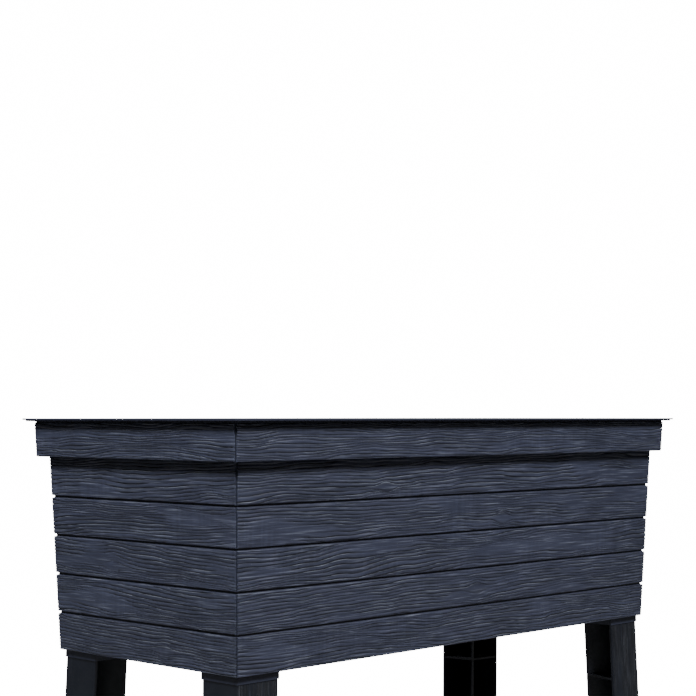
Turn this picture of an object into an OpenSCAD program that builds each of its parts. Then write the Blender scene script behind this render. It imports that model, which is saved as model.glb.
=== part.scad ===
// Raised planter on four legs: a wood-look plastic tub with a water reservoir in its base.
// Millimetres. +X runs along the long side, the front faces -Y, and z = 0 is the floor.

/* [Overall] */
// Width over the rim's flange
overall_w = 1139; // [900:1:1400]
// Depth over the rim's flange
overall_d = 520; // [400:1:630]
// Height of the rim's top above the floor
overall_h = 757; // [620:1:920]

/* [Tub] */
// Height of one plank course, and of the rim band
plank_h = 63.4; // [50:0.1:75]
// Plank courses under the rim band
plank_count = 5; // [4:1:6]
// Thickness of the tub's walls
wall_t = 4; // [3.5:0.1:6]
// Lean of each wall, inwards per unit of height
taper = 0.039; // [0.01:0.001:0.06]
// Depth of the grooves between planks
groove_depth = 2.2; // [1:0.1:2.5]
// Height of the grooves between planks
groove_h = 2.4; // [1.5:0.1:4]
// Height of the bevel along the top of each plank
bevel_h = 1.6; // [0.5:0.1:3]
// Flat across each upright corner
corner_flat = 4.5; // [1:0.5:8]
// Thickness of the tub's floor
floor_t = 4; // [3:0.1:6]
// How far the floor's underside stands above the tub's bottom edge
floor_recess = 10; // [6:1:20]
// Thickness of the ribs under the floor
rib_t = 3; // [2:0.1:4]
// Spacing of the ribs under the floor, along the tub
rib_pitch_x = 140; // [100:5:200]
// Distance of the long ribs from the tub's middle plane
rib_offset_y = 65; // [50:1:80]

/* [Rim] */
// Thickness of the flange
flange_t = 3; // [2:0.1:5]
// How far the flange reaches past the band
flange_reach = 14.3; // [8:0.1:20]
// How far the band stands out from the planks
band_step = 15.3; // [10:0.1:20]
// Thickness of the band
band_t = 3; // [2:0.1:4]
// Fillet between the band and the flange
band_fillet = 2.5; // [1:0.1:5]
// Height and width of the drip bead under the flange
bead = 2.2; // [1:0.1:3]
// Distance of the drip bead from the flange's edge
bead_inset = 4; // [2:0.5:6]
// Spacing of the stiffeners behind the band
stiffener_pitch = 92; // [60:1:140]
// Height of the stiffeners behind the band
stiffener_h = 34; // [15:1:45]

/* [Legs] */
// Leg width along the tub
leg_w = 82; // [65:1:100]
// Leg width across the tub
leg_d = 77; // [60:1:100]
// Thickness of the leg's walls, web and plates
leg_t = 4; // [3:0.1:6]
// Reach of the diagonal web, along either side of the leg
web_reach = 70; // [55:1:72]
// Outward splay of each leg, per unit of height
splay = 0.034; // [0:0.001:0.05]
// Distance of the leg from the tub's bottom edge
leg_inset = 8; // [8:0.5:14]
// Spacing of the leg's cross plates
leg_plate_pitch = 117; // [90:1:140]
// Rounding of each wall's upper free corner
leg_corner_r = 9; // [4:0.5:14]
// Thickness of the collar around each leg's top
collar_t = 1.5; // [1.2:0.1:2]
// How far the collar hangs below the tub's bottom edge
collar_drop = 12; // [5:0.5:14]
// Gap between the leg and its collar
collar_gap = 0.3; // [0.2:0.1:0.5]

/* [Leg screws] */
// Screw radius
screw_r = 2.5; // [2:0.1:3]
// Screw length under the head
screw_l = 18; // [16:0.5:19]
// Screw head radius
screw_head_r = 5; // [4:0.1:5.5]
// Screw head height
screw_head_h = 3.2; // [2.5:0.1:4]
// Wall of the screw bosses
boss_t = 4; // [3:0.1:6]
// Height of the screw bosses above the tub's floor
boss_h = 14; // [13:0.5:18]
// Radius of the screwdriver holes in the leg's cross plates
driver_r = 6.5; // [6:0.5:8]
// Clearance round the leg screws
screw_clear = 0.05; // [0.03:0.01:0.1]

/* [Drainage grids] */
// Height of the reservoir under the grids
reservoir_h = 60; // [50:1:80]
// Thickness of the grid plates
grid_t = 3; // [2:0.1:5]
// Gap between the grids and the tub's walls
grid_clear = 4; // [2:0.5:8]
// Gap between the two grids
grid_gap = 2; // [1:0.5:5]
// Height of the edge that hangs from each grid plate
grid_edge_h = 12; // [6:1:20]
// Slot length
slot_l = 26; // [15:1:40]
// Slot width
slot_w = 5; // [3:0.5:8]
// Slot spacing along the tub
slot_pitch_x = 38; // [30:1:50]
// Slot spacing across the tub
slot_pitch_y = 22; // [16:1:30]
// Span of the crossed plates of a grid foot
foot_span = 26; // [16:1:36]
// Distance of the outer feet from the grid's ends
foot_inset_x = 135; // [110:1:150]
// Distance of the feet from the grid's long edges
foot_inset_y = 45; // [30:1:60]

/* [Wick baskets] */
// Width of a basket at its top
basket_w = 112; // [80:1:130]
// Lean of the basket's walls, inwards per unit of height
basket_taper = 0.12; // [0.05:0.01:0.2]
// Thickness of the basket's walls
basket_t = 2; // [1.5:0.1:3]
// Width of the basket's flange
basket_flange = 8; // [6:0.5:14]
// Gap between the basket and its opening
basket_clear = 1.5; // [1:0.5:3]
// Gap between the basket and the tub's floor
basket_lift = 3; // [1:0.5:8]
// Width of the basket's slots
basket_slot = 4; // [3:0.5:6]

/* [Water gauge] */
// Distance of the gauge from the tub's inner wall, along the tub
gauge_inset_x = 95; // [80:1:120]
// Distance of the gauge from the tub's inner wall, across the tub
gauge_inset_y = 62; // [50:1:75]
// Outer radius of the tube
tube_r = 12; // [10:0.5:16]
// Wall of the tube
tube_t = 2; // [1.5:0.1:3]
// Depth of the tube's top below the rim
tube_drop = 70; // [65:1:90]
// Radial clearance where the tube passes its grid and its cap
tube_clear = 0.1; // [0.05:0.01:0.1]
// Gap between the float and the tube
float_gap = 1; // [0.5:0.1:1.5]
// Height of the float
float_h = 30; // [20:1:34]
// Travel of the float
float_travel = 45; // [25:1:50]
// Radius of the rod
rod_r = 1.5; // [1:0.1:2]
// Depth that the rod enters the float and the flag
rod_bite = 8; // [5:1:12]
// Clearance round the rod's ends
rod_clear = 0.05; // [0.03:0.01:0.1]
// Height of the flag
flag_h = 36; // [20:1:42]
// Thickness of the cap
cap_t = 2.5; // [2:0.1:4]
// Depth of the cap over the tube
cap_overlap = 14; // [8:1:20]

/* [Drain] */
// Distance of the drain from the tub's right end
drain_inset = 52; // [45:1:65]
// Outer radius of the drain's stub
stub_r = 13; // [10:0.5:15]
// Wall of the stub
stub_t = 3.5; // [2.5:0.1:4]
// Length of the stub below the floor
stub_l = 34; // [30:1:40]
// How far the drain's flange reaches past the stub
drain_flange = 10; // [7:0.5:14]
// Thickness of the drain's flange
drain_flange_t = 4; // [3:0.1:5]
// Thickness of the rubber washers
washer_t = 2; // [1.5:0.1:3]
// Height of the nut
nut_h = 9; // [7:0.5:10]
// Radial clearance in the drain's threads and holes
drain_clear = 0.05; // [0.03:0.01:0.1]
// Depth of the cap over the stub
drain_cap_depth = 16; // [12:0.5:18]
// Thickness of the cap
drain_cap_t = 3; // [2.5:0.1:4]
// Grip lobes round the cap
grip_count = 8; // [6:1:12]
// Radius of the overflow hole in the rear wall
overflow_r = 4; // [3:0.5:6]
// Height of the overflow hole above the floor of the tub
overflow_h = 34; // [25:1:38]
// Distance of the overflow hole from the tub's middle plane
overflow_x = 250; // [100:10:300]

/* [Hidden] */
$fn = 64;
eps = 0.01;
past = 1; // how far a cut runs past what it opens
root = 1; // how deep ribs, collars and bosses stand in the tub's floor
reach = 2000; // longer than any part, for cuts and for crossed extrusions

tub_z = overall_h - plank_h * (plank_count + 1);
band_z = overall_h - plank_h;
floor_under = tub_z + floor_recess;
floor_top = floor_under + floor_t;
planks_in = flange_reach + band_step;
stiffener_cover = 1; // how deep the stiffeners run into the band and the wall
rib_rise = 1; // how far the floor's ribs stop short of the tub's bottom edge

leg_x = side_at(overall_w / 2, planks_in, tub_z) - leg_inset;
leg_y = side_at(overall_d / 2, planks_in, tub_z) - leg_inset;
screw_spots = [[leg_w * 0.62, leg_d * 0.25], [leg_w * 0.22, leg_d * 0.6]]; // either side of the web
boss_r = screw_r + boss_t;
boss_roof = 2; // solid plastic over the end of a screw's hole

grid_z = floor_top + reservoir_h;
grid_half_x = side_at(overall_w / 2, planks_in + wall_t, grid_z - grid_edge_h) - grid_clear;
grid_half_y = side_at(overall_d / 2, planks_in + wall_t, grid_z - grid_edge_h) - grid_clear;
basket_x = (grid_half_x + grid_gap / 2) / 2;
opening_w = basket_w + 2 * basket_clear;
grid_rib_t = 2.5; // edges and feet of the grids
rest_gap = 0.3; // left where one loose piece stands on another
slot_margin = 9; // solid plastic left between a slot and an edge or opening

gauge_x = side_at(overall_w / 2, planks_in + wall_t, floor_top) - gauge_inset_x;
gauge_y = side_at(overall_d / 2, planks_in + wall_t, floor_top) - gauge_inset_y;
tube_in = tube_r - tube_t;
tube_z = floor_top + 3;
tube_top = overall_h - tube_drop;
tube_lip_t = 2;
tube_flange = 5;
tube_flange_t = 3;
float_r = tube_in - float_gap;
float_z = tube_z + tube_lip_t;
flag_r = float_r - 1;
flag_z = tube_top - flag_h - 4; // the flag hides just inside the tube at rest
cap_r = tube_r + tube_clear + cap_t;
cap_dome_h = 12;
cap_straight = flag_z + flag_h + float_travel + 1 - tube_top; // the flag's rise above the tube

drain_x = side_at(overall_w / 2, planks_in, tub_z) - drain_inset;
stub_in = stub_r - stub_t;
stub_z = floor_under - stub_l;
nut_across = 2 * (stub_r + drain_flange) - 2;
drain_cap_r = stub_r + drain_clear + drain_cap_t;

charcoal = [0.21, 0.22, 0.27];
leg_grey = [0.17, 0.18, 0.21];
black = [0.09, 0.09, 0.10];

// Half width of a leaning wall at height z, for a line that starts inset from the flange's edge
function side_at(half, inset, z) = half - inset - taper * (overall_h - z);

// The groove under the plank that starts at height z, with the bevel of the plank below it
function groove_points(half, lean, z) = [
    [half - lean * (overall_h - z), z],
    [half - lean * (overall_h - z) - groove_depth, z],
    [half - lean * (overall_h - z) - groove_depth, z - groove_h],
    [half - lean * (overall_h - z), z - groove_h - bevel_h],
];

// One leaning side from z0 up to z1, with a groove between each pair of planks if asked
function side_points(half, lean, z0, z1, grooved) = concat(
    [[half - lean * (overall_h - z1), z1]],
    grooved
        ? [for (i = [plank_count - 1 : -1 : 1]) each groove_points(half, lean, tub_z + i * plank_h)]
        : [],
    [[half - lean * (overall_h - z0), z0]]
);

function both_sides(side) = concat(side, [for (i = [len(side) - 1 : -1 : 0]) [-side[i].x, side[i].y]]);

module across(points) rotate([90, 0, 0]) linear_extrude(reach, center = true) polygon(points);

// Tapered block with four leaning sides and flattened corners: four crossed extrusions
module tub_block(inset, z0, z1, grooved = false) {
    half_x = overall_w / 2 - inset;
    half_y = overall_d / 2 - inset;
    half_corner = (half_x + half_y) / sqrt(2) - corner_flat / 2;
    intersection() {
        across(both_sides(side_points(half_x, taper, z0, z1, grooved)));
        rotate([0, 0, 90]) across(both_sides(side_points(half_y, taper, z0, z1, grooved)));
        rotate([0, 0, 45]) across(both_sides(side_points(half_corner, taper * sqrt(2), z0, z1, grooved)));
        rotate([0, 0, -45]) across(both_sides(side_points(half_corner, taper * sqrt(2), z0, z1, grooved)));
    }
}

// Puts a front-left detail at the corner asked for: side_x and side_y are -1 or 1
module at_corner(side_x, side_y)
    mirror([side_x > 0 ? 1 : 0, 0, 0]) mirror([0, side_y > 0 ? 1 : 0, 0])
        translate([-leg_x, -leg_y, 0]) children();

module at_every_corner() for (sx = [-1, 1], sy = [-1, 1]) at_corner(sx, sy) children();

// Splayed block from (-grow) to (w, d) + grow, whose outer corner leans out on its way down
module leg_block(w, d, z0, z1, grow = 0) {
    intersection() {
        rotate([90, 0, 0]) linear_extrude(reach, center = true)
            polygon(splayed([[-grow, z0], [w + grow, z0], [w + grow, z1], [-grow, z1]]));
        rotate([90, 0, 90]) linear_extrude(reach, center = true)
            polygon(splayed([[-grow, z0], [d + grow, z0], [d + grow, z1], [-grow, z1]]));
    }
}

function splayed(points) = [for (p = points) [p.x - splay * (tub_z - p.y), p.y]];

// A leg wall seen square on: inside the collar its upper free corner is rounded off
function leg_wall_points(w) = splayed(concat(
    [[0, 0], [w, 0]],
    [for (a = [0 : 15 : 90]) [w - leg_corner_r * (1 - cos(a)),
                              tub_z - collar_drop + leg_corner_r * sin(a)]],
    [[w - leg_corner_r, floor_under], [0, floor_under]]
));

module leg_plate(z) {
    translate([0, 0, z]) linear_extrude(leg_t) translate(-splay * (tub_z - z) * [1, 1])
        polygon([[0, 0], [leg_w, 0], [web_reach, web_reach], [0, leg_d]]);
}

module leg_body() {
    // the two outer walls
    intersection() {
        rotate([90, 0, 0]) linear_extrude(reach, center = true) polygon(leg_wall_points(leg_w));
        leg_block(leg_w, leg_t, 0, floor_under);
    }
    intersection() {
        rotate([90, 0, 90]) linear_extrude(reach, center = true) polygon(leg_wall_points(leg_d));
        leg_block(leg_t, leg_d, 0, floor_under);
    }
    // the diagonal web, from the outer corner towards the tub's middle
    intersection() {
        rotate([0, 0, 45]) translate([-reach / 2, -leg_t / 2, 0]) cube([reach, leg_t, floor_under]);
        leg_block(web_reach, web_reach, 0, floor_under);
    }
    // top plate, cross plates and sole, with a way for the screwdriver
    difference() {
        union() {
            for (z = [0, tub_z - 2 * leg_plate_pitch, tub_z - leg_plate_pitch]) leg_plate(z);
        }
        for (spot = screw_spots) translate([spot.x, spot.y, -eps])
            cylinder(r = driver_r, h = floor_under - 2 * leg_t);
    }
    difference() {
        leg_plate(floor_under - leg_t);
        for (spot = screw_spots) translate([spot.x, spot.y, floor_under - leg_t - eps])
            cylinder(r = screw_r + screw_clear, h = leg_t + 2 * eps);
    }
}

module leg(side_x, side_y) color(leg_grey) at_corner(side_x, side_y) leg_body();

module leg_screws(side_x, side_y) color([0.72, 0.72, 0.7]) at_corner(side_x, side_y)
    for (spot = screw_spots) translate([spot.x, spot.y, floor_under - leg_t]) leg_screw();

module leg_screw() {
    tip_l = 3;
    driver_w = 1.2;
    driver_depth = 1.6;
    head_round = 1.5;
    difference() {
        rotate_extrude() polygon(concat(
            [[0, screw_l], [screw_r, screw_l - tip_l], [screw_r, 0], [screw_head_r, 0]],
            [for (a = [0 : 15 : 90]) [screw_head_r - head_round * (1 - cos(a)),
                                      head_round * (1 - sin(a)) - screw_head_h]],
            [[0, -screw_head_h]]
        ));
        for (turn = [0, 90]) rotate([0, 0, turn])
            translate([-screw_head_r / 2, -driver_w / 2, -screw_head_h - eps])
                cube([screw_head_r, driver_w, driver_depth]);
    }
}

module tub() color(charcoal) {
    difference() {
        union() {
            tub_shell();
            floor_ribs();
            at_every_corner() leg_collar();
            at_every_corner() screw_bosses();
        }
        at_every_corner() screw_holes();
        translate([drain_x, 0, floor_under - eps])
            cylinder(r = stub_r + drain_clear, h = floor_t + 2 * eps);
        translate([overflow_x, 0, floor_top + overflow_h]) rotate([-90, 0, 0])
            cylinder(r = overflow_r, h = reach);
    }
}

// Walls and floor are what the planting space and the recess under the floor leave standing
module tub_shell() difference() {
    union() {
        tub_block(planks_in, tub_z, overall_h - flange_t / 2, grooved = true);
        rim_band();
        rim_flange();
    }
    tub_block(planks_in + wall_t, floor_top, overall_h + past);
    tub_block(planks_in + wall_t, tub_z - past, floor_under);
}

module rim_band() {
    half_x = overall_w / 2 - flange_reach;
    half_y = overall_d / 2 - flange_reach;
    difference() {
        tub_block(flange_reach, band_z, overall_h - flange_t / 2);
        tub_block(flange_reach + band_t, band_z - past, overall_h);
    }
    // fillet under the flange
    difference() {
        intersection() {
            across(both_sides(fillet_points(half_x)));
            rotate([0, 0, 90]) across(both_sides(fillet_points(half_y)));
        }
        tub_block(flange_reach + band_t / 2, band_z, overall_h + past);
    }
    // stiffeners between the band and the wall
    difference() {
        intersection() {
            tub_block(flange_reach + band_t - stiffener_cover,
                overall_h - stiffener_h, overall_h - flange_t / 2);
            union() {
                for (side = [-1, 1], i = [0 : floor(overall_w / 2 / stiffener_pitch) - 1])
                    translate([side * stiffener_pitch * (i + 0.5) - rib_t / 2, -overall_d / 2, 0])
                        cube([rib_t, overall_d, overall_h]);
                for (side = [-1, 1], i = [0 : floor(overall_d / 2 / stiffener_pitch) - 1])
                    translate([-overall_w / 2, side * stiffener_pitch * (i + 0.5) - rib_t / 2, 0])
                        cube([overall_w, rib_t, overall_h]);
            }
        }
        tub_block(planks_in + stiffener_cover, tub_z, overall_h + past);
    }
}

function fillet_points(half) = [
    [half + band_fillet, overall_h - flange_t / 2],
    [half + band_fillet, overall_h - flange_t],
    [half - taper * (flange_t + band_fillet), overall_h - flange_t - band_fillet],
];

module rim_flange() {
    rim_slab(0, overall_h - flange_t, overall_h);
    difference() {
        rim_slab(bead_inset, overall_h - flange_t - bead, overall_h - flange_t / 2);
        rim_slab(bead_inset + bead, overall_h - flange_t - bead - past, overall_h);
    }
}

// Flat slab from z0 to z1, inset from the flange's edge
module rim_slab(inset, z0, z1)
    translate([-overall_w / 2 + inset, -overall_d / 2 + inset, z0])
        cube([overall_w - 2 * inset, overall_d - 2 * inset, z1 - z0]);

module floor_ribs() difference() {
    intersection() {
        tub_block(planks_in + wall_t - stiffener_cover, tub_z + rib_rise, floor_under + root);
        union() {
            for (side = [-1, 1]) translate([-overall_w / 2, side * rib_offset_y - rib_t / 2, tub_z])
                cube([overall_w, rib_t, floor_top]);
            for (i = [-3 : 3]) translate([i * rib_pitch_x - rib_t / 2, -overall_d / 2, tub_z])
                cube([rib_t, overall_d, floor_top]);
        }
    }
    at_every_corner() leg_block(leg_w, leg_d, tub_z - collar_drop, floor_under, collar_gap);
}

module leg_collar() difference() {
    leg_block(leg_w, leg_d, tub_z - collar_drop, floor_under + root, collar_gap + collar_t);
    leg_block(leg_w, leg_d, tub_z - collar_drop - past, floor_under, collar_gap);
}

module screw_bosses() for (spot = screw_spots) translate([spot.x, spot.y, floor_under + root])
    cylinder(r = boss_r, h = floor_t - root + boss_h);

module screw_holes() for (spot = screw_spots) translate([spot.x, spot.y, floor_under - eps])
    cylinder(r = screw_r + screw_clear, h = floor_t + boss_h - boss_roof + eps);

module front_left_leg() leg(-1, -1);
module front_right_leg() leg(1, -1);
module rear_left_leg() leg(-1, 1);
module rear_right_leg() leg(1, 1);
module front_left_leg_screws() leg_screws(-1, -1);
module front_right_leg_screws() leg_screws(1, -1);
module rear_left_leg_screws() leg_screws(-1, 1);
module rear_right_leg_screws() leg_screws(1, 1);

// A slot stays where it leaves plastic round the basket's opening, the gauge and the feet
function slot_fits(x, y, with_gauge) =
    (abs(x - basket_x) > (opening_w + slot_l) / 2 + slot_margin
        || abs(y) > (opening_w + slot_w) / 2 + slot_margin)
    && (!with_gauge || norm([x - gauge_x, y + gauge_y]) > tube_r + slot_l / 2 + slot_margin);

// The grid of the right half; the left one is its mirror image, with a hole for the gauge
module half_grid(with_gauge) {
    length = grid_half_x - grid_gap / 2;
    columns = floor((length - 2 * slot_margin - slot_l) / slot_pitch_x);
    rows = floor((2 * grid_half_y - 2 * slot_margin - slot_w) / slot_pitch_y);
    edge_w = opening_w + 2 * grid_rib_t;
    difference() {
        union() {
            difference() {
                translate([grid_gap / 2, -grid_half_y, grid_z - grid_edge_h])
                    cube([length, 2 * grid_half_y, grid_edge_h + grid_t]);
                translate([grid_gap / 2 + grid_rib_t, -grid_half_y + grid_rib_t,
                    grid_z - grid_edge_h - past])
                    cube([length - 2 * grid_rib_t, 2 * (grid_half_y - grid_rib_t), grid_edge_h + past]);
                for (i = [0 : columns], j = [0 : rows]) {
                    x = basket_x + (i - columns / 2) * slot_pitch_x;
                    y = (j - rows / 2) * slot_pitch_y;
                    if (slot_fits(x, y, with_gauge))
                        translate([x - slot_l / 2, y - slot_w / 2, grid_z - past])
                            cube([slot_l, slot_w, grid_t + 2 * past]);
                }
            }
            // edge round the basket's opening
            translate([basket_x - edge_w / 2, -edge_w / 2, grid_z - grid_edge_h])
                cube([edge_w, edge_w, grid_edge_h + grid_t]);
            if (with_gauge) translate([gauge_x, -gauge_y, grid_z - grid_edge_h])
                cylinder(r = tube_r + tube_clear + grid_rib_t, h = grid_edge_h + grid_t);
            grid_feet();
        }
        translate([basket_x - opening_w / 2, -opening_w / 2, floor_top])
            cube([opening_w, opening_w, reach]);
        if (with_gauge) translate([gauge_x, -gauge_y, floor_top])
            cylinder(r = tube_r + tube_clear, h = reach);
    }
}

module grid_feet() {
    first_x = grid_gap / 2 + foot_inset_x;
    last_x = grid_half_x - foot_inset_x;
    for (x = [first_x, (first_x + last_x) / 2, last_x], side = [-1, 1], turn = [0, 90])
        translate([x, side * (grid_half_y - foot_inset_y), floor_top + rest_gap]) rotate([0, 0, turn])
            translate([-foot_span / 2, -grid_rib_t / 2, 0])
                cube([foot_span, grid_rib_t, reservoir_h + grid_t / 2]);
}

module left_grid() color(black) mirror([1, 0, 0]) half_grid(with_gauge = true);
module right_grid() color(black) half_grid(with_gauge = false);

// Tapered block of the basket, from the floor gap up to the grid's top
module basket_block(inset, z0, z1) {
    top_z = grid_z + grid_t;
    half_0 = basket_w / 2 - inset - basket_taper * (top_z - z0);
    half_1 = basket_w / 2 - inset - basket_taper * (top_z - z1);
    outline = [[half_1, z1], [half_0, z0], [-half_0, z0], [-half_1, z1]];
    intersection() {
        across(outline);
        rotate([0, 0, 90]) across(outline);
    }
}

module wick_basket() {
    base_z = floor_top + basket_lift;
    flange_z = grid_z + grid_t + rest_gap;
    slot_z = base_z + 4 * basket_t;
    slot_h = grid_z - grid_edge_h / 2 - slot_z;
    flange_w = basket_w + 2 * basket_flange;
    difference() {
        union() {
            basket_block(0, base_z, flange_z + basket_t / 2);
            translate([-flange_w / 2, -flange_w / 2, flange_z]) cube([flange_w, flange_w, basket_t]);
        }
        basket_block(basket_t, base_z + basket_t, flange_z + basket_t + past);
        // slots in all four walls, and in the floor
        for (turn = [0, 90], i = [-3 : 3]) rotate([0, 0, turn])
            translate([i * 3 * basket_slot - basket_slot / 2, -basket_w, slot_z])
                cube([basket_slot, 2 * basket_w, slot_h]);
        for (i = [-3 : 3])
            translate([i * 3 * basket_slot - basket_slot / 2, -basket_w / 4, base_z - past])
                cube([basket_slot, basket_w / 2, basket_t + 2 * past]);
    }
}

module left_wick_basket() color(black) translate([-basket_x, 0, 0]) wick_basket();
module right_wick_basket() color(black) translate([basket_x, 0, 0]) wick_basket();

module at_gauge() translate([-gauge_x, -gauge_y, 0]) children();

module gauge_tube() color(black) at_gauge() {
    window_w = 5;
    window_h = 26;
    difference() {
        union() {
            translate([0, 0, tube_z]) cylinder(r = tube_r, h = tube_top - tube_z);
            translate([0, 0, grid_z + grid_t]) cylinder(r = tube_r + tube_flange, h = tube_flange_t);
        }
        translate([0, 0, tube_z + tube_lip_t]) cylinder(r = tube_in, h = tube_top);
        translate([0, 0, tube_z - past]) cylinder(r = tube_in - tube_lip_t, h = tube_top);
        // windows that let the water in
        for (turn = [0, 90]) rotate([0, 0, turn])
            translate([-tube_r - past, -window_w / 2, tube_z + tube_lip_t])
                cube([2 * (tube_r + past), window_w, window_h]);
    }
}

module gauge_float() color([0.93, 0.93, 0.9]) at_gauge() difference() {
    translate([0, 0, float_z + rest_gap]) rotate_extrude() polygon(concat(
        [[0, 0], [float_r - 1, 0], [float_r, 1]],
        [for (a = [0 : 15 : 90]) [float_r - 2 * (1 - cos(a)), float_h - 2 + 2 * sin(a)]],
        [[0, float_h]]
    ));
    translate([0, 0, float_z + rest_gap + float_h - rod_bite])
        cylinder(r = rod_r + rod_clear, h = rod_bite + past);
}

module gauge_rod() color([0.85, 0.85, 0.83]) at_gauge() {
    float_top = float_z + rest_gap + float_h;
    translate([0, 0, float_top - rod_bite]) cylinder(r = rod_r, h = flag_z + 2 * rod_bite - float_top);
}

module gauge_flag() color([0.75, 0.10, 0.08]) at_gauge() translate([0, 0, flag_z]) difference() {
    rotate_extrude() polygon(concat(
        [[0, 0], [flag_r - 1, 0], [flag_r, 1]],
        [for (a = [0 : 15 : 90]) [flag_r - 2 * (1 - cos(a)), flag_h - 2 + 2 * sin(a)]],
        [[0, flag_h]]
    ));
    translate([0, 0, -past]) cylinder(r = rod_r + rod_clear, h = rod_bite + past);
}

// Clear cap: a skirt that slips over the tube, a shoulder that rests on it, and a domed top
module gauge_cap() color([0.85, 0.88, 0.9, 0.4]) at_gauge() translate([0, 0, tube_top + rest_gap])
    rotate_extrude() polygon(concat(
        [[tube_r + tube_clear, -cap_overlap], [cap_r, -cap_overlap]],
        [for (a = [0 : 7.5 : 90]) [cap_r * cos(a), cap_straight + cap_dome_h * sin(a)]],
        [for (a = [90 : -7.5 : 0]) [tube_in * cos(a), cap_straight + (cap_dome_h - cap_t) * sin(a)]],
        [[tube_in, 0], [tube_r + tube_clear, 0]]
    ));

module at_drain() translate([drain_x, 0, 0]) children();

module drain_fitting() color(black) at_drain() difference() {
    union() {
        translate([0, 0, stub_z])
            cylinder(r = stub_r, h = floor_top + washer_t - stub_z + drain_flange_t / 2);
        translate([0, 0, floor_top + washer_t]) cylinder(r = stub_r + drain_flange, h = drain_flange_t);
    }
    translate([0, 0, stub_z - past]) cylinder(r = stub_in, h = reach);
}

module drain_washer() color([0.05, 0.05, 0.05]) at_drain() difference() {
    translate([0, 0, floor_top]) cylinder(r = stub_r + drain_flange - 1, h = washer_t);
    translate([0, 0, floor_top - past]) cylinder(r = stub_r + drain_clear, h = washer_t + 2 * past);
}

module drain_nut() color(black) at_drain() difference() {
    intersection() {
        translate([0, 0, floor_under - nut_h]) cylinder(d = nut_across / cos(30), h = nut_h, $fn = 6);
        translate([0, 0, floor_under - nut_h]) cylinder(d = nut_across * 1.1, h = nut_h);
    }
    translate([0, 0, floor_under - nut_h - past])
        cylinder(r = stub_r + drain_clear, h = nut_h + 2 * past);
}

module drain_cap() color(black) at_drain() {
    cap_base = stub_z - washer_t - rest_gap - drain_cap_t;
    grip_r = 2.5;
    difference() {
        union() {
            translate([0, 0, cap_base])
                cylinder(r = drain_cap_r, h = drain_cap_t + washer_t + rest_gap + drain_cap_depth);
            for (i = [0 : grip_count - 1]) rotate([0, 0, i * 360 / grip_count])
                translate([drain_cap_r, 0, cap_base])
                    cylinder(r = grip_r, h = drain_cap_depth + drain_cap_t);
        }
        translate([0, 0, cap_base + drain_cap_t]) cylinder(r = stub_r + drain_clear, h = reach);
    }
}

module drain_cap_seal() color([0.05, 0.05, 0.05]) at_drain()
    translate([0, 0, stub_z - washer_t - rest_gap / 2]) cylinder(r = stub_r - rest_gap, h = washer_t);

tub();
front_left_leg();
front_right_leg();
rear_left_leg();
rear_right_leg();
front_left_leg_screws();
front_right_leg_screws();
rear_left_leg_screws();
rear_right_leg_screws();
left_grid();
right_grid();
left_wick_basket();
right_wick_basket();
gauge_tube();
gauge_float();
gauge_rod();
gauge_flag();
gauge_cap();
drain_fitting();
drain_washer();
drain_nut();
drain_cap();
drain_cap_seal();
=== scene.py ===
import math

import bmesh
import bpy
from mathutils import Matrix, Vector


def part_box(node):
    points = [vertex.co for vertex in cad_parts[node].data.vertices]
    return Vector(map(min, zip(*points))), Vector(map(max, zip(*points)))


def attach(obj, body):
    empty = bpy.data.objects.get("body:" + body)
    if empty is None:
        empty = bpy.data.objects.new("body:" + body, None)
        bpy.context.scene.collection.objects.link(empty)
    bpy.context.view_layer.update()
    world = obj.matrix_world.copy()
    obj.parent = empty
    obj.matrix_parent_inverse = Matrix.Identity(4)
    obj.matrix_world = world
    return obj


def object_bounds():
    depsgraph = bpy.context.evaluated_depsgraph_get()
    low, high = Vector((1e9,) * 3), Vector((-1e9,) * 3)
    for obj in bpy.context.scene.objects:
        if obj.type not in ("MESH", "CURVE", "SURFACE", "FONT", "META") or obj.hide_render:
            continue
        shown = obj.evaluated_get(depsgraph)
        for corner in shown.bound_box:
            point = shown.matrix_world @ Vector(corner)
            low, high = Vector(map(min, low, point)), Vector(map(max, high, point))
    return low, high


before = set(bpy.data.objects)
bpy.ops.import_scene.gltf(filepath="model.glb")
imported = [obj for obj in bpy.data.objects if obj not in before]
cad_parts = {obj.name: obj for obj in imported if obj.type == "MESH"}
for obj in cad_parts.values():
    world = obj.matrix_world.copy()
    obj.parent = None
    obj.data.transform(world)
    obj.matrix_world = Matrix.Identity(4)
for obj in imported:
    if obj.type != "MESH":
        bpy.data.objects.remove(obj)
cad_low, cad_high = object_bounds()


# Camera: level with the rim, off the planter's front left corner and nearly 3 m from its middle.
# The lens is shifted, not tilted, so the uprights stay upright.
camera_data = bpy.data.cameras.new("camera")
camera_data.sensor_width = 36.0
camera_data.lens = 83.98
camera_data.shift_y = 0.0982
camera_data.clip_end = 60.0
camera = bpy.data.objects.new("camera", camera_data)
camera.location = (-2.1265, -1.9788, 0.760)
camera.rotation_euler = (math.radians(90.0), 0.0, math.radians(43.84 - 90.0))
bpy.context.collection.objects.link(camera)
bpy.context.scene.camera = camera


# Tub: one injection moulding in charcoal polypropylene, carried over from the CAD as it is. The
# walls lean out towards the rim, and the floor hangs between them over the reservoir's drain.
def add_node(tree, kind, inputs=None, **settings):
    """A node with its inputs given by name or number: each is a value or another node's output."""
    node = tree.nodes.new(kind)
    for key, value in settings.items():
        setattr(node, key, value)
    for socket, value in (inputs or {}).items():
        if isinstance(value, bpy.types.NodeSocket):
            tree.links.new(value, node.inputs[socket])
        else:
            node.inputs[socket].default_value = value
    return node


def calc(tree, operation, *values):
    return add_node(tree, "ShaderNodeMath", dict(enumerate(values)), operation=operation).outputs[0]


def remap(tree, value, low, high, to_low, to_high):
    ends = {0: value, 1: low, 2: high, 3: to_low, 4: to_high}
    return add_node(tree, "ShaderNodeMapRange", ends).outputs[0]


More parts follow.
